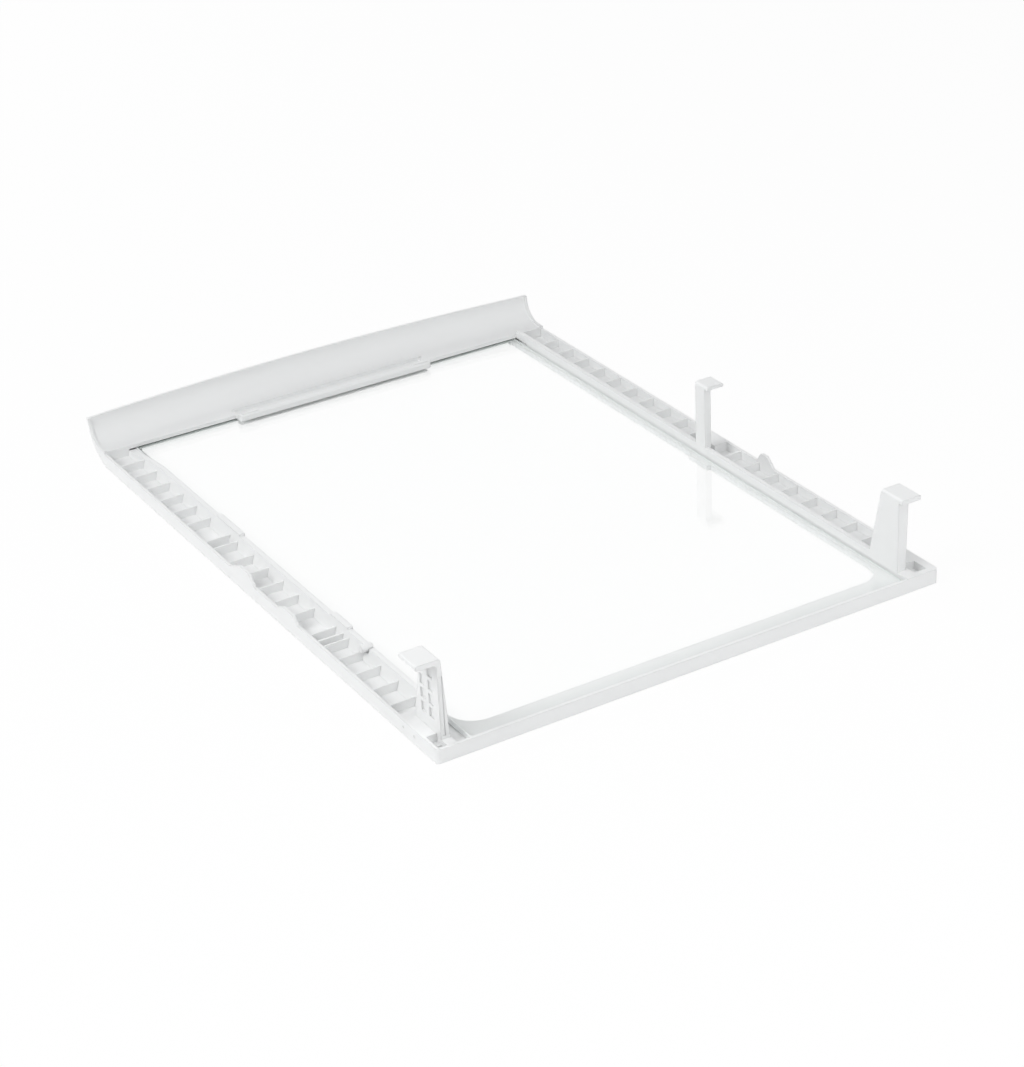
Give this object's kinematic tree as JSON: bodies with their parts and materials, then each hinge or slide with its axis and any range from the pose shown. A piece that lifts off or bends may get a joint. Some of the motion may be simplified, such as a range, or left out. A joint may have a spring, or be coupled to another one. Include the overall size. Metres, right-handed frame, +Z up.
{
  "type": "refrigerator shelf",
  "caption": "Slide-out refrigerator shelf: a clear glass panel in a white moulded frame with ribbed rails, a curled front apron and hooks that pass under the bracket arms.",
  "frame": {"origin": "on the floor under the middle of the shelf, which lies on its rim with its underside up as in the picture", "axes": "+Z up, the way the hooks point; -Y towards the curled front apron; +Y towards the rear bar; +X towards the rail with the cored hook"},
  "size_m": [0.342, 0.4693, 0.0573],
  "materials": {
    "white_plastic": "satin moulded",
    "clear_glass": "polished, clear"
  },
  "bodies": {
    "root": {"moulded_frame": "white_plastic", "glass_panel": "clear_glass"}
  },
  "joints": []
}
